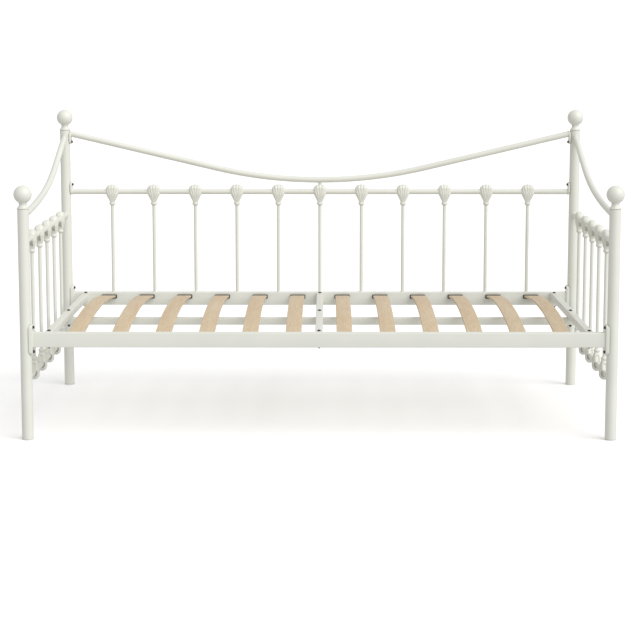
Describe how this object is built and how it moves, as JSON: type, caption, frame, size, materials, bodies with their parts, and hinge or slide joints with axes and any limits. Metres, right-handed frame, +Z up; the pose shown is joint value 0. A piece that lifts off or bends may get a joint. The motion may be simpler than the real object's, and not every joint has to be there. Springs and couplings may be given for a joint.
{
  "type": "daybed",
  "caption": "Single metal daybed frame with a sagging back rail, swept end rails, ball finials, shell castings and a bowed slat base, without a mattress.",
  "frame": {"origin": "on the floor, at the middle of the bed's box", "axes": "+X along the bed, +Y to the back panel, +Z up"},
  "size_m": [2.0084, 1.01, 1.0655],
  "materials": {
    "powder_coat": "warm ivory satin powder coat",
    "beech": "pale laminated beech, clear satin lacquer",
    "dark_zinc": "dark zinc-plated steel",
    "foot_plastic": "off-white moulded plastic",
    "slat_holder": "black moulded plastic"
  },
  "bodies": {
    "root": {"post_front_left": "powder_coat", "finial_front_left": "powder_coat", "foot_front_left": "foot_plastic", "post_front_right": "powder_coat", "finial_front_right": "powder_coat", "foot_front_right": "foot_plastic", "post_back_left": "powder_coat", "finial_back_left": "powder_coat", "foot_back_left": "foot_plastic", "post_back_right": "powder_coat", "finial_back_right": "powder_coat", "foot_back_right": "foot_plastic", "sweep_rail_left": "powder_coat", "end_grille_left": "powder_coat", "sweep_rail_right": "powder_coat", "end_grille_right": "powder_coat", "back_top_rail": "powder_coat", "back_grille": "powder_coat", "side_rail_front": "powder_coat", "side_rail_back": "powder_coat", "middle_bar": "powder_coat", "cross_bar_left": "powder_coat", "bar_bolt_left_front": "dark_zinc", "bar_bolt_left_middle": "dark_zinc", "bar_bolt_left_back": "dark_zinc", "cross_bar_centre": "powder_coat", "bar_bolt_centre_front": "dark_zinc", "bar_bolt_centre_middle": "dark_zinc", "bar_bolt_centre_back": "dark_zinc", "cross_bar_right": "powder_coat", "bar_bolt_right_front": "dark_zinc", "bar_bolt_right_middle": "dark_zinc", "bar_bolt_right_back": "dark_zinc", "slat_01": "beech", "slat_02": "beech", "slat_03": "beech", "slat_04": "beech", "slat_05": "beech", "slat_06": "beech", "slat_07": "beech", "slat_08": "beech", "slat_09": "beech", "slat_10": "beech", "slat_11": "beech", "slat_12": "beech", "saddle_bolt_front_left_low": "dark_zinc", "saddle_bolt_front_left_high": "dark_zinc", "saddle_bolt_front_right_low": "dark_zinc", "saddle_bolt_front_right_high": "dark_zinc", "saddle_bolt_back_left_low": "dark_zinc", "saddle_bolt_back_left_high": "dark_zinc", "saddle_bolt_back_left_back_rail": "dark_zinc", "saddle_bolt_back_left_top_rail": "dark_zinc", "saddle_bolt_back_right_low": "dark_zinc", "saddle_bolt_back_right_high": "dark_zinc", "saddle_bolt_back_right_back_rail": "dark_zinc", "saddle_bolt_back_right_top_rail": "dark_zinc"}
  },
  "joints": []
}
